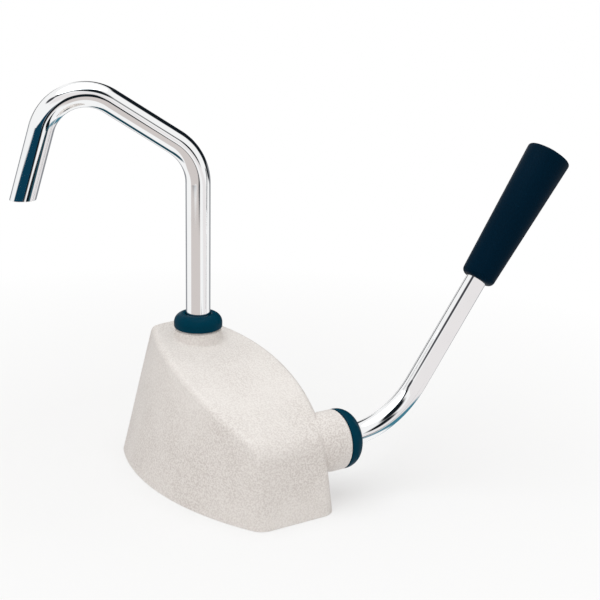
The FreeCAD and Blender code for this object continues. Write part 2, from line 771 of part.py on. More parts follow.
SHAPES = {
    "body_casing": body_casing(),
    "base_plate": base_plate(),
    "base_gasket": base_gasket(),
    "base_screws": base_screws(),
    "deck_inserts": deck_inserts(),
    "inlet_insert": inlet_insert(),
    "inlet_seat_ring": inlet_seat_ring(),
    "inlet_flap": inlet_flap(),
    "inlet_flap_pin": inlet_flap_pin(),
    "paddle": paddle(),
    "paddle_seal": paddle_seal(),
    "paddle_flap": paddle_flap(),
    "paddle_flap_pin": paddle_flap_pin(),
    "hub_washers": hub_washers(),
    "hub_pin": hub_pin(),
    "lever": lever(),
    "lever_plug": lever_plug(),
    "shaft_bush_inner": shaft_bush_inner(),
    "shaft_bush_outer": shaft_bush_outer(),
    "shaft_o_rings": shaft_o_rings(),
    "shaft_gland_bush": shaft_gland_bush(),
    "lever_collar": lever_collar(),
    "grip": grip(),
    "spout": spout(),
    "spout_flange": spout_flange(),
    "spout_thrust_washer": spout_thrust_washer(),
    "spout_o_rings": spout_o_rings(),
    "spout_bush": spout_bush(),
    "spout_collar": spout_collar(),
}

os.makedirs("parts", exist_ok=True)
for name, shape in SHAPES.items():
    shape.exportStep(f"parts/{name}.step")
    box_of = shape.BoundBox
    print(name, len(shape.Solids), shape.isValid(), round(shape.Volume),
          [round(v, 1) for v in (box_of.XMin, box_of.XMax, box_of.YMin, box_of.YMax, box_of.ZMin, box_of.ZMax)])
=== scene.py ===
"""Galley hand pump: the finished looks of a deck pump, built round its fixed frame.

The casing is a smoothed copy of its solid. The spout, the lever, the grip and both collars are modelled
here. Every other piece keeps its solid and gets its finish. Lengths are in metres, +Z up, +X towards the
nose and +Y towards the lever, with the origin on the deck under the spout.
"""
import math

import bmesh
import bpy
from bpy.props import FloatProperty, FloatVectorProperty, PointerProperty
from mathutils import Matrix, Vector


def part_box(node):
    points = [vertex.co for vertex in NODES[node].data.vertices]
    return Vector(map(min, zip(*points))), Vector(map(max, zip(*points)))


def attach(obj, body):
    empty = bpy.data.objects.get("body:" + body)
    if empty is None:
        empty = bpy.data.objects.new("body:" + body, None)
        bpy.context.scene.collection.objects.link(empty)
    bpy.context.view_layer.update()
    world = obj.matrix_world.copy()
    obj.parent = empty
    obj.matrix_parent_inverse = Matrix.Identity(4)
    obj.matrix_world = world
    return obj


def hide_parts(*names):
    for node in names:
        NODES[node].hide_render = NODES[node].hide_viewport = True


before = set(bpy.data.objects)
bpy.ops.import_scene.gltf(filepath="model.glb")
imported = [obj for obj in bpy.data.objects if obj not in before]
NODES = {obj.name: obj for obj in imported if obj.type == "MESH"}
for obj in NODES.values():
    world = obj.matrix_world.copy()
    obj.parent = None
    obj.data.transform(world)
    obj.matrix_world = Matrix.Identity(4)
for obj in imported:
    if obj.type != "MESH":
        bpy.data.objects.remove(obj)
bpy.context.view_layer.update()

bl_info = {
    "name": "Galley Hand Pump",
    "version": (1, 0, 0),
    "blender": (4, 5, 0),
    "location": "3D View > Sidebar > Hand Pump",
    "description": "Builds a galley hand pump with a swivelling spout and a side lever",
    "category": "Add Mesh",
}

COLLAR_LOW, COLLAR_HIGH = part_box("spout_collar")
GLAND_LOW, GLAND_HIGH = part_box("lever_collar")
SHAFT_X = (GLAND_LOW.x + GLAND_HIGH.x) / 2
SHAFT_Z = (GLAND_LOW.z + GLAND_HIGH.z) / 2
SPOUT_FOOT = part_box("spout")[0].z
LEVER_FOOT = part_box("lever")[0].y
TUBE_STEPS = 96            # faces round a tube, a collar and the grip
SPOUT_BEND_STEPS = 40
LEVER_BEND_STEPS = 48
MERGE = 1e-6               # vertices nearer than this are one
ON_RIM = 2e-5              # how far from a circle its own vertices may lie
CUT_REACH = 0.7            # share of the second corner's reach past which the spout may be cut
LIP_ANGLE = math.radians(40)
FLOOR_SIDES = 96

# The photo's camera, and the way it looks in plan
CAMERA_AT = (0.672224, -0.371898, 0.327657)
CAMERA_RIGHT = (0.5438, 0.8389, 0.0200)
CAMERA_UP = (-0.2530, 0.1412, 0.9571)
SENSOR_WIDTH = 36.0
VIEW = math.radians(-28.95)

WHITE = (1, 1, 1, 1)
FILL_TINT = (1.0, 0.957, 0.925, 1)

# The studio that polished metal reflects: white, with these cards. Each has its azimuth from the photo's
# camera, its height, roll, half length and half width in degrees, then its softness, squareness and tone.
NAVY_CARD = (0.004, 0.045, 0.085)
BLACK_CARD = (0.006, 0.010, 0.014)
CARDS = (
    (-24, -31, 0, 42, 18, 0.06, 8, (0.68, 0.63, 0.61)),
    (69, -17.5, -27, 85, 8, 0.05, 8, (0.88, 0.85, 0.85)),
    (-5, 28, -29, 26, 8, 0.05, 8, (0.88, 0.85, 0.85)),
    (-36, -3.6, 0, 40, 8.5, 0.08, 8, NAVY_CARD),
    (2, -8.8, -15, 13, 2.0, 0.10, 8, NAVY_CARD),
    (47, -23.2, -4, 18, 4.2, 0.08, 8, BLACK_CARD),
    (11, -2, 0, 7, 11, 0.15, 8, BLACK_CARD),
    (145, 14, -20, 36, 30, 0.08, 8, BLACK_CARD),
    (-120, -62, 0, 30, 10, 0.20, 2, (0.004, 0.060, 0.090)),
    (180, -18, 0, 50, 15, 0.12, 8, (0.28, 0.29, 0.31)),
    (-60, 45, 0, 13, 6, 0.30, 2, (0.06, 0.06, 0.07)),
    (-18, 56, 0, 24, 9, 0.25, 2, BLACK_CARD),
    (24, 43, -50, 24, 12, 0.25, 2, BLACK_CARD),
    (49, 14, -65, 14, 7, 0.25, 2, BLACK_CARD),
    (115, -40, 0, 50, 5, 0.30, 2, (0.06, 0.22, 0.30)),
    (-145, 12, -30, 16, 7, 0.30, 2, BLACK_CARD),
)


def length(name, description, default):
    return FloatProperty(name=name, description=description, default=default, unit="LENGTH",
                         subtype="DISTANCE", precision=4)


def angle(name, description, default):
    return FloatProperty(name=name, description=description, default=math.radians(default),
                         unit="ROTATION", subtype="ANGLE")


def colour(name, description, default):
    return FloatVectorProperty(name=name, description=description, default=default, size=3,
                               min=0.0, max=1.0, subtype="COLOR")


def share(name, description, default):
    return FloatProperty(name=name, description=description, default=default, min=0.0, max=1.0,
                         subtype="FACTOR")


class SpoutSizes(bpy.types.PropertyGroup):
    tube: length("Tube", "Outside diameter of the spout's tube", 0.014)
    wall: length("Wall", "Thickness of the spout's tube", 0.001)
    corner: length("First Corner", "Height of the first bend's corner over the deck", 0.1785)
    second_run: length("Second Run", "Length of the rising run between the two corners", 0.0905)
    third_run: length("Third Run", "Length of the falling run, to the tip", 0.0738)
    first_bend: length("First Bend", "Radius of the first bend's centre line", 0.028)
    second_bend: length("Second Bend", "Radius of the second bend's centre line", 0.0245)
    rise: angle("Rise", "Slope of the second run above level", 33.0)
    drop: angle("Drop", "Slope of the third run below level", 74.0)
    turn: angle("Turn", "Turn of the spout in plan, from the near side towards the rear", 20.0)
    lip: length("Lip", "Round of the edges at the spout's cut tip", 0.0002)


class LeverSizes(bpy.types.PropertyGroup):
    tube: length("Tube", "Outside diameter of the lever's tube", 0.012)
    wall: length("Wall", "Thickness of the lever's tube", 0.0015)
    corner: length("Corner", "Distance of the bend's corner from the middle of the casing", 0.0747)
    bend: length("Bend", "Radius of the bend's centre line", 0.056)
    rise: angle("Rise", "Slope of the lever's free arm above level", 53.9)
    grip_start: length("Grip Start", "Distance from the bend's corner to the grip", 0.0965)
    grip_length: length("Grip Length", "Length of the grip", 0.086)
    grip_small: length("Grip Foot", "Radius of the grip where the lever enters", 0.0098)
    grip_large: length("Grip End", "Radius of the grip at its free end", 0.0132)
    grip_dome: length("Grip Dome", "Height of the dome on the grip's free end", 0.002)
    grip_round: length("Grip Round", "Round of the rim at the grip's free end", 0.0018)
    foot_round: length("Foot Round", "Round of the grip's foot round the lever", 0.0033)
    grip_cover: length("Cover", "Length of tube inside the grip", 0.066)


class CollarSizes(bpy.types.PropertyGroup):
    spout_round: length("Spout Collar Round", "Round of the spout collar's upper rim", 0.0055)
    foot_round: length("Foot Round", "Round of the spout collar's lower rim", 0.0012)
    mouth_round: length("Mouth Round", "Round of the spout collar's mouth at the tube", 0.001)
    play: length("Play", "Gap between the spout's tube and its collar", 0.00025)
    lever_rim: length("Lever Collar Rim", "Straight part of the lever collar's side", 0.0012)
    lever_eye: length("Lever Collar Eye", "Radius of the lever collar's flat end", 0.0082)
    lever_edge: length("Lever Collar Edge", "Round of the lever collar's mouth and lower rim", 0.0003)
    lever_play: length("Lever Play", "Gap between the lever's tube and its collar", 0.0005)
    neck: length("Neck", "Radius of the threaded necks inside the collars", 0.012)
    depth: length("Thread Depth", "Depth of the thread inside each collar", 0.0062)


class PumpFinishes(bpy.types.PropertyGroup):
    casing: colour("Casing", "Off-white of the moulded casing", (0.832, 0.797, 0.765))
    casing_shade: colour("Casing Grain", "Darker tone in the casing's grain", (0.60, 0.55, 0.52))
    navy: colour("Navy", "Dark blue of the collars", (0.0003, 0.038, 0.068))
    navy_shade: colour("Navy Grain", "Darker tone in the dark blue", (0.0004, 0.027, 0.050))
    grip: colour("Grip", "Dark blue of the grip", (0.0002, 0.0108, 0.0250))
    grip_shade: colour("Grip Grain", "Darker tone in the grip", (0.0003, 0.0065, 0.0147))
    chrome: colour("Chrome", "Tint of the polished tubes", (0.90, 0.905, 0.91))
    steel: colour("Steel", "Tint of the screws and pins", (0.60, 0.59, 0.57))
    brass: colour("Brass", "Tint of the threaded inserts", (0.72, 0.50, 0.22))
    rubber: colour("Rubber", "Black of the seals", (0.018, 0.018, 0.019))
    acetal: colour("Bushes", "Natural white of the bushes", (0.74, 0.73, 0.68))
    plate: colour("Base Plate", "Off-white of the base plate", (0.80, 0.79, 0.76))
    paddle: colour("Paddle", "Dark grey of the paddle", (0.12, 0.12, 0.13))


class StageSettings(bpy.types.PropertyGroup):
    fill: share("Fill", "Level of the even light from all round", 0.62)
    top_light: FloatProperty(name="Top Light", description="Power of the soft lamp overhead",
                             default=9.0, min=0.0, unit="POWER")
    side_light: FloatProperty(name="Side Light", description="Power of the soft lamp at the side",
                              default=2.4, min=0.0, unit="POWER")
    floor: share("Floor", "Brightness of the floor", 0.86)
    radius: length("Floor Radius", "Radius of the round floor", 8.0)
    gap: length("Floor Gap", "Gap between the floor and the base", 0.0002)
    lens: FloatProperty(name="Lens", description="Focal length of the camera", default=84.0,
                        min=10.0, unit="CAMERA")


# Meshes

def new_piece(name, bm, material, smooth_angle=40.0):
    """Make an object from a bmesh, smooth-shaded with sharp edges past the angle."""
    limit = math.radians(smooth_angle)
    for face in bm.faces:
        face.smooth = True
    for edge in bm.edges:
        edge.smooth = len(edge.link_faces) == 2 and edge.calc_face_angle(0.0) < limit
    mesh = bpy.data.meshes.new(name)
    bm.to_mesh(mesh)
    bm.free()
    mesh.materials.append(material)
    piece = bpy.data.objects.new(name, mesh)
    bpy.context.scene.collection.objects.link(piece)
    return piece


def place(piece, body, node):
    """Let a piece ride on its body and stand for its solid."""
    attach(piece, body)
    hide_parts(node)


def close_up(bm):
    bmesh.ops.remove_doubles(bm, verts=bm.verts, dist=MERGE)
    bmesh.ops.recalc_face_normals(bm, faces=bm.faces)


def outline_on(bm, start, points):
    """Draw an outline on from a vertex through (radius, height) points and return its last vertex."""
    for radius, height in points:
        after = bm.verts.new((radius, 0, height))
        bm.edges.new((start, after))
        start = after
    return start


def arc_on(bm, start, centre, axis, turn, steps):
    """Draw an arc on from a vertex and return its last vertex."""
    made = bmesh.ops.spin(bm, geom=[start], cent=centre, axis=axis, dvec=(0, 0, 0), angle=turn, steps=steps)
    return next(g for g in made["geom_last"] if isinstance(g, bmesh.types.BMVert))


def spin_round(bm):
    """Spin an outline round Z into a closed piece."""
    bmesh.ops.spin(bm, geom=bm.verts[:] + bm.edges[:], cent=(0, 0, 0), axis=(0, 0, 1),
                   dvec=(0, 0, 0), angle=math.tau, steps=TUBE_STEPS, use_merge=True)
    loose = [v for v in bm.verts if not v.link_faces]
    bmesh.ops.delete(bm, geom=loose, context="VERTS")
    close_up(bm)


def round_edges(bm, edges, amount, segments):
    bmesh.ops.bevel(bm, geom=edges, offset=amount, offset_type="OFFSET", affect="EDGES",
                    segments=segments, profile=0.5, material=-1)


def round_rim(bm, radius, height, amount, segments):
    """Round the edge of the circle at that radius and height."""
    ring = {v for v in bm.verts
            if abs(v.co.z - height) < ON_RIM and abs(v.co.xy.length - radius) < ON_RIM}
    round_edges(bm, [e for e in bm.edges if ring.issuperset(e.verts)], amount, segments)


def bent_tube(foot, corners, radii, outer, wall, bend_steps):
    """Sweep a ring-shaped face through the corners, turning it round each bend.

    The last corner is the tube's end, so there is one radius less than there are corners.
    """
    bm = bmesh.new()
    out = (corners[0] - foot).normalized()
    turn = Vector((0, 0, 1)).rotation_difference(out).to_matrix().to_4x4()
    seat = Matrix.Translation(foot) @ turn
    loops = []
    for radius in (outer, outer - wall):
        made = bmesh.ops.create_circle(bm, cap_ends=False, segments=TUBE_STEPS, radius=radius,
                                       matrix=seat)
        loops += list({e for v in made["verts"] for e in v.link_edges})
    face = bmesh.ops.bridge_loops(bm, edges=loops)["faces"]
    at = foot.copy()
    for corner, after, radius in zip(corners, corners[1:], radii):
        into, away = (corner - at).normalized(), (after - corner).normalized()
        bend = into.angle(away)
        start = corner - into * radius * math.tan(bend / 2)
        face = run_on(bm, face, start - at)
        axis = into.cross(away).normalized()
        centre = start + axis.cross(into) * radius
        made = bmesh.ops.spin(bm, geom=face, cent=centre, axis=axis, dvec=(0, 0, 0), angle=bend,
                              steps=bend_steps, use_merge=False)
        face = [g for g in made["geom_last"] if isinstance(g, bmesh.types.BMFace)]
        at = corner + away * radius * math.tan(bend / 2)
    run_on(bm, face, corners[-1] - at)
    close_up(bm)
    return bm


def run_on(bm, faces, along):
    """Push the tube's open end on in a straight run and return its new end."""
    made = bmesh.ops.extrude_face_region(bm, geom=faces)["geom"]
    bmesh.ops.translate(bm, verts=[g for g in made if isinstance(g, bmesh.types.BMVert)], vec=along)
    return [g for g in made if isinstance(g, bmesh.types.BMFace)]


# Finishes

COLOUR, FLOAT, VECTOR = "NodeSocketColor", "NodeSocketFloat", "NodeSocketVector"
SKIN_OUTPUTS = (("Colour", COLOUR), ("Roughness", FLOAT), ("Height", FLOAT))


def node_group(name, inputs, outputs):
    """Make a shader node group with named sockets, and return it with its input and output nodes."""
    group = bpy.data.node_groups.new(name, "ShaderNodeTree")
    for title, kind, value in inputs:
        socket = group.interface.new_socket(name=title, in_out="INPUT", socket_type=kind)
        socket.default_value = value
    for title, kind in outputs:
        group.interface.new_socket(name=title, in_out="OUTPUT", socket_type=kind)
    return group, group.nodes.new("NodeGroupInput"), group.nodes.new("NodeGroupOutput")


def feed(tree, value, socket):
    """Link a socket to a node's output, or set it to a plain value."""
    if hasattr(value, "node"):
        tree.links.new(value, socket)
    else:
        socket.default_value = value


def math_node(tree, operation, *values):
    node = tree.nodes.new("ShaderNodeMath")
    node.operation = operation
    for socket, value in zip(node.inputs, values):
        feed(tree, value, socket)
    return node.outputs[0]


def times(tree, one, two):
    return math_node(tree, "MULTIPLY", one, two)


def plus(tree, one, two):
    return math_node(tree, "ADD", one, two)


def noise(tree, at, scale, detail=2.0, roughness=0.5):
    node = tree.nodes.new("ShaderNodeTexNoise")
    for title, value in (("Vector", at), ("Scale", scale), ("Detail", detail), ("Roughness", roughness)):
        feed(tree, value, node.inputs[title])
    return node.outputs["Fac"]


def stretched(tree, at, scale, turn=(0, 0, 0)):
    """Return a place to draw long marks on."""
    node = tree.nodes.new("ShaderNodeMapping")
    for title, value in (("Vector", at), ("Scale", scale), ("Rotation", turn)):
        feed(tree, value, node.inputs[title])
    return node.outputs["Vector"]


def spread(tree, value, low, high, to_low=0.0, to_high=1.0, kind="LINEAR"):
    """Map a value from one range to another, kept inside it."""
    node = tree.nodes.new("ShaderNodeMapRange")
    node.clamp = True
    node.interpolation_type = kind
    for socket, number in zip(node.inputs, (value, low, high, to_low, to_high)):
        feed(tree, number, socket)
    return node.outputs["Result"]


def blend_colours(tree, amount, first, second):
    """Mix two colours. The Mix node's colour sockets come after its plain and vector ones."""
    node = tree.nodes.new("ShaderNodeMix")
    node.data_type = "RGBA"
    for value, number in ((amount, 0), (first, 6), (second, 7)):
        feed(tree, value, node.inputs[number])
    return node.outputs[2]


def moulded_skin():
    """Group: fine moulding grain, slow tone drift and faint scuffs of a moulded surface."""
    group, given, made = node_group(
        "Moulded Skin",
        (("Colour", COLOUR, (0.8, 0.8, 0.8, 1)), ("Grain Colour", COLOUR, (0.6, 0.6, 0.6, 1)),
         ("Grain Scale", FLOAT, 1800.0), ("Grain Share", FLOAT, 0.3), ("Roughness", FLOAT, 0.4),
         ("Scuffs", FLOAT, 0.3)), SKIN_OUTPUTS)
    drift_in_tone, drift_in_roughness = 0.12, 0.05
    scuff_in_roughness, scuff_in_height = 0.18, 0.25
    at = group.nodes.new("ShaderNodeTexCoord").outputs["Object"]
    grain = noise(group, at, given.outputs["Grain Scale"], roughness=0.6)
    speck = spread(group, grain, 0.40, 0.62)
    drift = spread(group, noise(group, at, 22.0), 0.35, 0.65)
    patch = plus(group, times(group, drift, 0.5), 0.5)
    tone = times(group, speck, times(group, patch, given.outputs["Grain Share"]))
    tone = plus(group, tone, times(group, drift, drift_in_tone))
    group.links.new(blend_colours(group, tone, given.outputs["Colour"], given.outputs["Grain Colour"]),
                    made.inputs["Colour"])
    marks = noise(group, stretched(group, at, (1.0, 0.12, 0.5), (0.3, 0.2, 0.7)), 900.0, 3.0, 0.7)
    scuff = times(group, spread(group, marks, 0.62, 0.74), given.outputs["Scuffs"])
    rough = plus(group, given.outputs["Roughness"], times(group, scuff, scuff_in_roughness))
    rough = plus(group, rough, times(group, drift, drift_in_roughness))
    group.links.new(rough, made.inputs["Roughness"])
    height = math_node(group, "SUBTRACT", grain, times(group, scuff, scuff_in_height))
    group.links.new(height, made.inputs["Height"])
    return group


def polished_skin():
    """Group: hairlines and wipe marks of a polished or machined metal."""
    group, given, made = node_group(
        "Polished Skin",
        (("Colour", COLOUR, (0.9, 0.9, 0.9, 1)), ("Roughness", FLOAT, 0.05), ("Hairlines", FLOAT, 0.3),
         ("Smudge", FLOAT, 0.3)), SKIN_OUTPUTS)
    smudge_in_roughness, smudge_in_tone, hair_in_roughness = 0.10, 0.18, 0.06
    smudge_tone = (0.45, 0.45, 0.44, 1)
    at = group.nodes.new("ShaderNodeTexCoord").outputs["Object"]
    lines = noise(group, stretched(group, at, (1.0, 1.0, 0.06)), 2600.0, roughness=0.6)
    hair = times(group, spread(group, lines, 0.55, 0.75), given.outputs["Hairlines"])
    wiped = spread(group, noise(group, at, 60.0, 3.0, 0.6), 0.45, 0.75)
    smudge = times(group, wiped, given.outputs["Smudge"])
    rough = plus(group, given.outputs["Roughness"], times(group, smudge, smudge_in_roughness))
    rough = plus(group, rough, times(group, hair, hair_in_roughness))
    group.links.new(rough, made.inputs["Roughness"])
    share = times(group, smudge, smudge_in_tone)
    dulled = blend_colours(group, share, given.outputs["Colour"], smudge_tone)
    group.links.new(dulled, made.inputs["Colour"])
    group.links.new(hair, made.inputs["Height"])
    return group


def material_base(name):
    material = bpy.data.materials.new(name)
    material.use_nodes = True
    tree = material.node_tree
    return material, tree, tree.nodes["Principled BSDF"]


def wear_skin(tree, shader, group, values, depth):
    """Put a skin group before a shader: its colour, roughness and, through a bump, its height."""
    skin = tree.nodes.new("ShaderNodeGroup")
    skin.node_tree = group
    for title, value in values.items():
        skin.inputs[title].default_value = value
    bump = tree.nodes.new("ShaderNodeBump")
    bump.inputs["Distance"].default_value = depth
    tree.links.new(skin.outputs["Colour"], shader.inputs["Base Color"])
    tree.links.new(skin.outputs["Roughness"], shader.inputs["Roughness"])
    tree.links.new(skin.outputs["Height"], bump.inputs["Height"])
    tree.links.new(bump.outputs["Normal"], shader.inputs["Normal"])


def moulded(name, main, shade, grain_scale, grain_share, rough, scuffs, gloss=0.4, depth=0.00003):
    """Make a moulded plastic or rubber from its two tones."""
    material, tree, shader = material_base(name)
    shader.inputs["Specular IOR Level"].default_value = gloss
    wear_skin(tree, shader, GROUPS["moulded"],
              {"Colour": (*main, 1), "Grain Colour": (*shade, 1), "Grain Scale": grain_scale,
               "Grain Share": grain_share, "Roughness": rough, "Scuffs": scuffs}, depth)
    return material


def metal(name, tint, rough, hairlines, smudge, depth=0.00001):
    """Make a polished or machined metal from its tint."""
    material, tree, shader = material_base(name)
    shader.inputs["Metallic"].default_value = 1.0
    wear_skin(tree, shader, GROUPS["polished"],
              {"Colour": (*tint, 1), "Roughness": rough, "Hairlines": hairlines, "Smudge": smudge}, depth)
    return material


GROUPS = {}
FINISHES = {}


def toned(tone, by):
    return tuple(c * by for c in tone)


class PUMP_OT_mix_finishes(bpy.types.Operator):
    """Mix the finishes that all the pieces share"""
    bl_idname = "hand_pump.mix_finishes"
    bl_label = "Mix Finishes"

    def execute(self, context):
        tones = context.scene.pump_finishes
        GROUPS["moulded"] = moulded_skin()
        GROUPS["polished"] = polished_skin()
        FINISHES["casing"] = moulded(
            "Off-White Moulding", tones.casing, tones.casing_shade,
            grain_scale=1050.0, grain_share=0.74, rough=0.46, scuffs=0.3, gloss=0.30, depth=0.00022)
        FINISHES["navy"] = moulded(
            "Navy Moulding", tones.navy, tones.navy_shade,
            grain_scale=1500.0, grain_share=0.3, rough=0.26, scuffs=0.4, gloss=0.02, depth=0.00002)
        FINISHES["grip"] = moulded(
            "Navy Grip", tones.grip, tones.grip_shade,
            grain_scale=900.0, grain_share=0.4, rough=0.34, scuffs=0.5, gloss=0.02, depth=0.00004)
        FINISHES["rubber"] = moulded(
            "Black Rubber", tones.rubber, toned(tones.rubber, 1.8),
            grain_scale=1100.0, grain_share=0.5, rough=0.62, scuffs=0.6, gloss=0.3, depth=0.00004)
        FINISHES["acetal"] = moulded(
            "Natural Acetal", tones.acetal, toned(tones.acetal, 0.86),
            grain_scale=700.0, grain_share=0.3, rough=0.42, scuffs=0.5, depth=0.00001)
        FINISHES["plate"] = moulded(
            "Plate Moulding", tones.plate, toned(tones.plate, 0.7),
            grain_scale=1300.0, grain_share=0.5, rough=0.5, scuffs=0.6, depth=0.00004)
        FINISHES["paddle"] = moulded(
            "Dark Grey Moulding", tones.paddle, toned(tones.paddle, 0.75),
            grain_scale=1200.0, grain_share=0.4, rough=0.45, scuffs=0.5)
        FINISHES["chrome"] = metal("Polished Chrome", tones.chrome, rough=0.035, hairlines=0.25,
                                   smudge=0.25, depth=0.000004)
        FINISHES["steel"] = metal("Stainless Steel", tones.steel, rough=0.24, hairlines=1.0, smudge=0.4)
        FINISHES["brass"] = metal("Turned Brass", tones.brass, rough=0.22, hairlines=0.9, smudge=0.6)
        return {"FINISHED"}


def dress(finish, *names):
    """Give the solids that are shown as they are their finish."""
    for name in names:
        node = NODES[name]
        node.data.materials.clear()
        node.data.materials.append(FINISHES[finish])


class PUMP_OT_add_casing(bpy.types.Operator):
    """Add the casing as a smoothed copy of its solid"""
    bl_idname = "hand_pump.add_casing"
    bl_label = "Casing"

    def execute(self, context):
        bm = bmesh.new()
        bm.from_mesh(NODES["body_casing"].data)
        bmesh.ops.remove_doubles(bm, verts=bm.verts, dist=2 * MERGE)
        bmesh.ops.dissolve_degenerate(bm, dist=MERGE / 10, edges=bm.edges)
        piece = new_piece("casing_shell", bm, FINISHES["casing"], smooth_angle=24.0)
        even = piece.modifiers.new("Even Shading", "WEIGHTED_NORMAL")
        even.keep_sharp = True
        even.weight = 100
        place(piece, "casing", "body_casing")
        return {"FINISHED"}


class PUMP_OT_add_spout(bpy.types.Operator):
    """Add the bent spout, its tip cut level"""
    bl_idname = "hand_pump.add_spout"
    bl_label = "Spout"

    def execute(self, context):
        sizes = context.scene.spout_sizes
        plan = Vector((-math.sin(sizes.turn), -math.cos(sizes.turn), 0))
        up = Vector((0, 0, 1))
        foot, low = Vector((0, 0, SPOUT_FOOT)), Vector((0, 0, sizes.corner))
        high = low + (plan * math.cos(sizes.rise) + up * math.sin(sizes.rise)) * sizes.second_run
        fall = plan * math.cos(sizes.drop) - up * math.sin(sizes.drop)
        tip = high + fall * sizes.third_run
        past_tip = tip + fall * sizes.tube
        bm = bent_tube(foot, [low, high, past_tip], [sizes.first_bend, sizes.second_bend],
                       sizes.tube / 2, sizes.wall, SPOUT_BEND_STEPS)
        # The level cut may only reach the falling run, because the upright crosses its plane too.
        last_run = {v for v in bm.verts if v.co.dot(plan) > high.dot(plan) * CUT_REACH}
        cut = [*last_run, *(e for e in bm.edges if last_run.issuperset(e.verts)),
               *(f for f in bm.faces if last_run.issuperset(f.verts))]
        bmesh.ops.bisect_plane(bm, geom=cut, dist=MERGE / 10, plane_co=tip, plane_no=-up, clear_outer=True)
        bmesh.ops.bridge_loops(bm, edges=[e for e in bm.edges if len(e.link_faces) == 1])
        lip = [e for e in bm.edges if all(abs(v.co.z - tip.z) < MERGE for v in e.verts)
               and e.calc_face_angle(0.0) > LIP_ANGLE]
        round_edges(bm, lip, sizes.lip, 2)
        bmesh.ops.recalc_face_normals(bm, faces=bm.faces)
        # The angle keeps the lip's small round from bending the reflections along the run.
        piece = new_piece("spout_tube", bm, FINISHES["chrome"], smooth_angle=20.0)
        place(piece, "spout", "spout")
        return {"FINISHED"}


def lever_line(sizes):
    """Return the corner of the lever's bend and the direction of its free arm."""
    corner = Vector((SHAFT_X, sizes.corner, SHAFT_Z))
    return corner, Vector((0, math.cos(sizes.rise), math.sin(sizes.rise)))


class PUMP_OT_add_lever(bpy.types.Operator):
    """Add the bent lever, whose inner end is the paddle's shaft"""
    bl_idname = "hand_pump.add_lever"
    bl_label = "Lever"

    def execute(self, context):
        sizes = context.scene.lever_sizes
        corner, out = lever_line(sizes)
        foot = Vector((SHAFT_X, LEVER_FOOT, SHAFT_Z))
        end = corner + out * (sizes.grip_start + sizes.grip_cover)
        bm = bent_tube(foot, [corner, end], [sizes.bend], sizes.tube / 2, sizes.wall, LEVER_BEND_STEPS)
        place(new_piece("lever_tube", bm, FINISHES["chrome"]), "lever_and_paddle", "lever")
        return {"FINISHED"}


class PUMP_OT_add_grip(bpy.types.Operator):
    """Add the tapered grip, domed at its free end"""
    bl_idname = "hand_pump.add_grip"
    bl_label = "Grip"

    def execute(self, context):
        sizes = context.scene.lever_sizes
        corner, out = lever_line(sizes)
        bore, small, large = sizes.tube / 2, sizes.grip_small, sizes.grip_large
        end, knee = sizes.grip_length - sizes.grip_dome, sizes.grip_large - sizes.grip_round
        radius = (knee ** 2 + sizes.grip_dome ** 2) / (2 * sizes.grip_dome)
        bm = bmesh.new()
        top = bm.verts.new((0, 0, sizes.grip_length))
        dome = arc_on(bm, top, (0, 0, sizes.grip_length - radius), (0, 1, 0), math.asin(knee / radius), 10)
        outline_on(bm, dome, [(large, end), (small, 0), (bore, 0), (bore, sizes.grip_cover),
                              (0, sizes.grip_cover)])
        spin_round(bm)
        round_rim(bm, large, end, sizes.grip_round, 6)
        round_rim(bm, small, 0, sizes.foot_round, 8)
        turn = Vector((0, 0, 1)).rotation_difference(out).to_matrix().to_4x4()
        bmesh.ops.transform(bm, matrix=Matrix.Translation(corner + out * sizes.grip_start) @ turn,
                            verts=bm.verts)
        place(new_piece("hand_grip", bm, FINISHES["grip"]), "lever_and_paddle", "grip")
        return {"FINISHED"}


class PUMP_OT_add_spout_collar(bpy.types.Operator):
    """Add the rounded collar at the spout's foot"""
    bl_idname = "hand_pump.add_spout_collar"
    bl_label = "Spout Collar"

    def execute(self, context):
        sizes, tube = context.scene.collar_sizes, context.scene.spout_sizes.tube / 2
        outer, eye = (COLLAR_HIGH.x - COLLAR_LOW.x) / 2, tube + sizes.play
        height = COLLAR_HIGH.z - COLLAR_LOW.z
        bm = bmesh.new()
        start = bm.verts.new((sizes.neck, 0, 0))
        last = outline_on(bm, start, [(outer, 0), (outer, height), (eye, height), (eye, sizes.depth),
                                      (sizes.neck, sizes.depth)])
        bm.edges.new((last, start))
        spin_round(bm)
        round_rim(bm, outer, height, sizes.spout_round, 12)
        round_rim(bm, outer, 0, sizes.foot_round, 4)
        round_rim(bm, eye, height, sizes.mouth_round, 4)
        bmesh.ops.translate(bm, verts=bm.verts, vec=(0, 0, COLLAR_LOW.z))
        place(new_piece("spout_nut", bm, FINISHES["navy"]), "casing", "spout_collar")
        return {"FINISHED"}


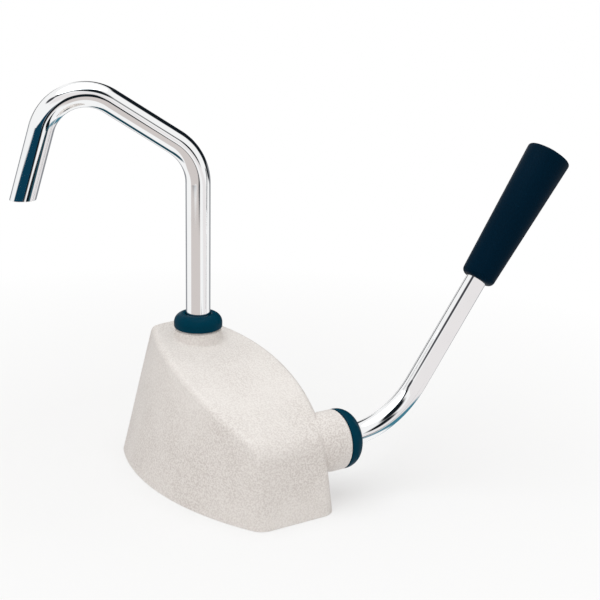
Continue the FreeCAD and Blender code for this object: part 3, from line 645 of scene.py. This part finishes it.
class PUMP_OT_add_lever_collar(bpy.types.Operator):
    """Add the domed collar on the lever's boss"""
    bl_idname = "hand_pump.add_lever_collar"
    bl_label = "Lever Collar"

    def execute(self, context):
        sizes, tube = context.scene.collar_sizes, context.scene.lever_sizes.tube / 2
        outer, hole = (GLAND_HIGH.z - GLAND_LOW.z) / 2, tube + sizes.lever_play
        height = GLAND_HIGH.y - GLAND_LOW.y
        drop, run = outer - sizes.lever_eye, height - sizes.lever_rim
        bm = bmesh.new()
        start = bm.verts.new((1, 0, 0))
        dome = arc_on(bm, start, (0, 0, 0), (0, -1, 0), math.pi / 2, 16)
        bmesh.ops.scale(bm, verts=bm.verts, vec=(drop, 1, run))
        bmesh.ops.translate(bm, verts=bm.verts, vec=(sizes.lever_eye, 0, sizes.lever_rim))
        last = outline_on(bm, dome, [(hole, height), (hole, sizes.depth), (sizes.neck, sizes.depth),
                                     (sizes.neck, 0), (outer, 0)])
        bm.edges.new((last, start))
        spin_round(bm)
        round_rim(bm, hole, height, sizes.lever_edge, 2)
        round_rim(bm, outer, 0, sizes.lever_edge, 2)
        boss_end = Vector((SHAFT_X, GLAND_LOW.y, SHAFT_Z))
        bmesh.ops.transform(bm, matrix=Matrix.Translation(boss_end) @ Matrix.Rotation(-math.pi / 2, 4, "X"),
                            verts=bm.verts)
        place(new_piece("lever_nut", bm, FINISHES["navy"]), "casing", "lever_collar")
        return {"FINISHED"}


class PUMP_OT_dress_base(bpy.types.Operator):
    """Finish the base plate, its gasket, screws and inserts, and the inlet's valve"""
    bl_idname = "hand_pump.dress_base"
    bl_label = "Base"

    def execute(self, context):
        dress("plate", "base_plate")
        dress("rubber", "base_gasket", "inlet_flap")
        dress("steel", "base_screws", "inlet_flap_pin", "inlet_seat_ring")
        dress("brass", "deck_inserts", "inlet_insert")
        return {"FINISHED"}


class PUMP_OT_dress_works(bpy.types.Operator):
    """Finish the paddle, its seal and flap, the bushes, the spout's ring and the O-rings"""
    bl_idname = "hand_pump.dress_works"
    bl_label = "Works"

    def execute(self, context):
        dress("paddle", "paddle", "lever_plug")
        dress("rubber", "paddle_seal", "paddle_flap", "shaft_o_rings", "spout_o_rings")
        dress("steel", "paddle_flap_pin", "hub_pin")
        dress("brass", "spout_flange")
        dress("acetal", "hub_washers", "shaft_bush_inner", "shaft_bush_outer", "shaft_gland_bush",
              "spout_thrust_washer", "spout_bush")
        return {"FINISHED"}


def soft_lamp(name, at, aim, width, power, tint=(1, 1, 1)):
    """Hang a round lamp that faces the aim."""
    data = bpy.data.lights.new(name, "AREA")
    data.shape, data.size, data.energy, data.color = "DISK", width, power, tint
    lamp = bpy.data.objects.new(name, data)
    lamp.location = at
    lamp.rotation_mode = "QUATERNION"
    lamp.rotation_quaternion = (Vector(aim) - Vector(at)).to_track_quat("-Z", "Y")
    bpy.context.scene.collection.objects.link(lamp)
    return lamp


def studio_card():
    """Group: how far a direction falls on a card of the studio."""
    group, given, made = node_group(
        "Studio Card",
        (("Direction", VECTOR, (0, 0, 1)), ("Facing", VECTOR, (0, 0, 1)), ("Along", VECTOR, (1, 0, 0)),
         ("Across", VECTOR, (0, 1, 0)), ("Squareness", FLOAT, 2.0), ("Softness", FLOAT, 0.2)),
        (("Mask", FLOAT),))
    ways = {}
    for name in ("Facing", "Along", "Across"):
        dot = group.nodes.new("ShaderNodeVectorMath")
        dot.operation = "DOT_PRODUCT"
        group.links.new(given.outputs["Direction"], dot.inputs[0])
        group.links.new(given.outputs[name], dot.inputs[1])
        ways[name] = dot.outputs["Value"]
    square, soft = given.outputs["Squareness"], given.outputs["Softness"]
    reach = [math_node(group, "POWER", math_node(group, "ABSOLUTE", ways[name]), square)
             for name in ("Along", "Across")]
    out = math_node(group, "POWER", plus(group, *reach), math_node(group, "DIVIDE", 1.0, square))
    inner, outer = math_node(group, "SUBTRACT", 1.0, soft), plus(group, 1.0, soft)
    on = spread(group, out, inner, outer, 1.0, 0.0, "SMOOTHSTEP")
    front = math_node(group, "GREATER_THAN", ways["Facing"], 0.0)
    group.links.new(times(group, on, front), made.inputs["Mask"])
    return group


def place_card(tree, group, direction, room, card):
    """Lay one card over the room's colour and return the new colour."""
    azimuth, height, roll, half_length, half_width = (math.radians(v) for v in card[:5])
    softness, squareness, tone = card[5:]
    azimuth += VIEW
    facing = Vector((math.cos(height) * math.cos(azimuth), math.cos(height) * math.sin(azimuth),
                     math.sin(height)))
    right = Vector((0, 0, 1)).cross(facing).normalized()
    up = facing.cross(right)
    along = (right * math.cos(roll) + up * math.sin(roll)) / math.sin(half_length)
    across = (up * math.cos(roll) - right * math.sin(roll)) / math.sin(half_width)
    node = tree.nodes.new("ShaderNodeGroup")
    node.node_tree = group
    for title, value in (("Direction", direction), ("Facing", facing), ("Along", along),
                         ("Across", across), ("Softness", softness), ("Squareness", squareness)):
        feed(tree, value, node.inputs[title])
    return blend_colours(tree, node.outputs["Mask"], room, (*tone, 1))


def studio_world(stage):
    """Even light for the object, white for the camera, and a room of cards for polished pieces."""
    world = bpy.data.worlds.new("Studio")
    bpy.context.scene.world = world
    world.use_nodes = True
    tree = world.node_tree
    path = tree.nodes.new("ShaderNodeLightPath")
    direction = tree.nodes.new("ShaderNodeTexCoord").outputs["Generated"]
    paper = tree.nodes.new("ShaderNodeRGB").outputs[0]
    paper.default_value = WHITE
    room, group = paper, studio_card()
    for card in CARDS:
        room = place_card(tree, group, direction, room, card)
    seen = tree.nodes["Background"]
    tree.links.new(blend_colours(tree, path.outputs["Is Camera Ray"], room, WHITE), seen.inputs["Color"])
    seen.inputs["Strength"].default_value = 1.0
    even = tree.nodes.new("ShaderNodeBackground")
    even.inputs["Color"].default_value = FILL_TINT
    even.inputs["Strength"].default_value = stage.fill
    shown = math_node(tree, "MAXIMUM", path.outputs["Is Camera Ray"], path.outputs["Is Glossy Ray"])
    shown = math_node(tree, "MAXIMUM", shown, path.outputs["Is Transmission Ray"])
    mix = tree.nodes.new("ShaderNodeMixShader")
    tree.links.new(shown, mix.inputs[0])
    tree.links.new(even.outputs[0], mix.inputs[1])
    tree.links.new(seen.outputs[0], mix.inputs[2])
    tree.links.new(mix.outputs[0], tree.nodes["World Output"].inputs["Surface"])


def floor_finish(stage):
    """A pale floor that keeps the soft shadow and is white to the camera away from the object."""
    shadow_end, all_white, least_glow, mottle = 0.12, 0.42, 0.50, 0.985
    material, tree, shader = material_base("Studio Floor")
    at = tree.nodes.new("ShaderNodeTexCoord").outputs["Object"]
    pale = (stage.floor,) * 3
    tone = blend_colours(tree, spread(tree, noise(tree, at, 3.0), 0.3, 0.7), (*pale, 1),
                         (*toned(pale, mottle), 1))
    tree.links.new(tone, shader.inputs["Base Color"])
    shader.inputs["Roughness"].default_value = 0.9
    shader.inputs["Specular IOR Level"].default_value = 0.0
    far = tree.nodes.new("ShaderNodeVectorMath")
    far.operation = "LENGTH"
    tree.links.new(at, far.inputs[0])
    path = tree.nodes.new("ShaderNodeLightPath")
    glow = tree.nodes.new("ShaderNodeEmission")
    lit = tree.nodes.new("ShaderNodeMixShader")
    share_lit = spread(tree, far.outputs["Value"], shadow_end, all_white, least_glow, 1.0)
    tree.links.new(times(tree, path.outputs["Is Camera Ray"], share_lit), lit.inputs[0])
    tree.links.new(shader.outputs[0], lit.inputs[1])
    tree.links.new(glow.outputs[0], lit.inputs[2])
    tree.links.new(lit.outputs[0], tree.nodes["Material Output"].inputs["Surface"])
    return material


def photo_camera(lens):
    """Make the camera that sees the object as the photo does."""
    data = bpy.data.cameras.new("photo_camera")
    data.lens, data.sensor_width, data.clip_start, data.clip_end = lens, SENSOR_WIDTH, 0.01, 50
    camera = bpy.data.objects.new("photo_camera", data)
    right, up = Vector(CAMERA_RIGHT), Vector(CAMERA_UP)
    turn = Matrix((right, up, right.cross(up))).transposed()
    camera.matrix_world = Matrix.Translation(CAMERA_AT) @ turn.to_4x4()
    return camera


class PUMP_OT_set_stage(bpy.types.Operator):
    """Set the floor, the lamps, the cards and the camera"""
    bl_idname = "hand_pump.set_stage"
    bl_label = "Stage"

    def execute(self, context):
        stage = context.scene.stage_settings
        studio_world(stage)
        bm = bmesh.new()
        bmesh.ops.create_circle(bm, cap_ends=True, segments=FLOOR_SIDES, radius=stage.radius,
                                matrix=Matrix.Translation((0, 0, -stage.gap)))
        floor = new_piece("studio_floor", bm, floor_finish(stage))
        floor.visible_glossy = False
        soft_lamp("top_lamp", at=(0.1, -0.1, 1.3), aim=(0.03, 0, 0.05), width=1.4,
                  power=stage.top_light, tint=(0.92, 0.975, 1.0))
        side = soft_lamp("side_lamp", at=(0.85, -1.0, 0.8), aim=(0.03, 0, 0.08), width=0.9,
                         power=stage.side_light)
        side.visible_glossy = False
        camera = photo_camera(stage.lens)
        context.scene.collection.objects.link(camera)
        context.scene.camera = camera
        context.scene.view_settings.view_transform = "Standard"
        return {"FINISHED"}


class PUMP_PT_panel(bpy.types.Panel):
    """List the pump's pieces in the sidebar"""
    bl_label = "Galley Hand Pump"
    bl_idname = "PUMP_PT_panel"
    bl_space_type = "VIEW_3D"
    bl_region_type = "UI"
    bl_category = "Hand Pump"

    def draw(self, context):
        for made in OPERATORS:
            self.layout.operator(made.bl_idname)
        for name in SETTINGS:
            column = self.layout.box().column()
            column.label(text=name.replace("_", " ").title())
            group = getattr(context.scene, name)
            for field in group.__annotations__:
                column.prop(group, field)


OPERATORS = (PUMP_OT_mix_finishes, PUMP_OT_add_casing, PUMP_OT_add_spout, PUMP_OT_add_lever,
             PUMP_OT_add_grip, PUMP_OT_add_spout_collar, PUMP_OT_add_lever_collar,
             PUMP_OT_dress_base, PUMP_OT_dress_works, PUMP_OT_set_stage)
SETTINGS = {"spout_sizes": SpoutSizes, "lever_sizes": LeverSizes, "collar_sizes": CollarSizes,
            "pump_finishes": PumpFinishes, "stage_settings": StageSettings}


def register():
    for made in (*SETTINGS.values(), *OPERATORS, PUMP_PT_panel):
        bpy.utils.register_class(made)
    for name, group in SETTINGS.items():
        setattr(bpy.types.Scene, name, PointerProperty(type=group))


def unregister():
    for name in SETTINGS:
        delattr(bpy.types.Scene, name)
    for made in reversed((*SETTINGS.values(), *OPERATORS, PUMP_PT_panel)):
        bpy.utils.unregister_class(made)


def main():
    register()
    bpy.ops.hand_pump.mix_finishes()
    bpy.ops.hand_pump.add_casing()
    bpy.ops.hand_pump.add_spout()
    bpy.ops.hand_pump.add_lever()
    bpy.ops.hand_pump.add_grip()
    bpy.ops.hand_pump.add_spout_collar()
    bpy.ops.hand_pump.add_lever_collar()
    bpy.ops.hand_pump.dress_base()
    bpy.ops.hand_pump.dress_works()
    bpy.ops.hand_pump.set_stage()
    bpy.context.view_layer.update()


if __name__ == "__main__":
    main()
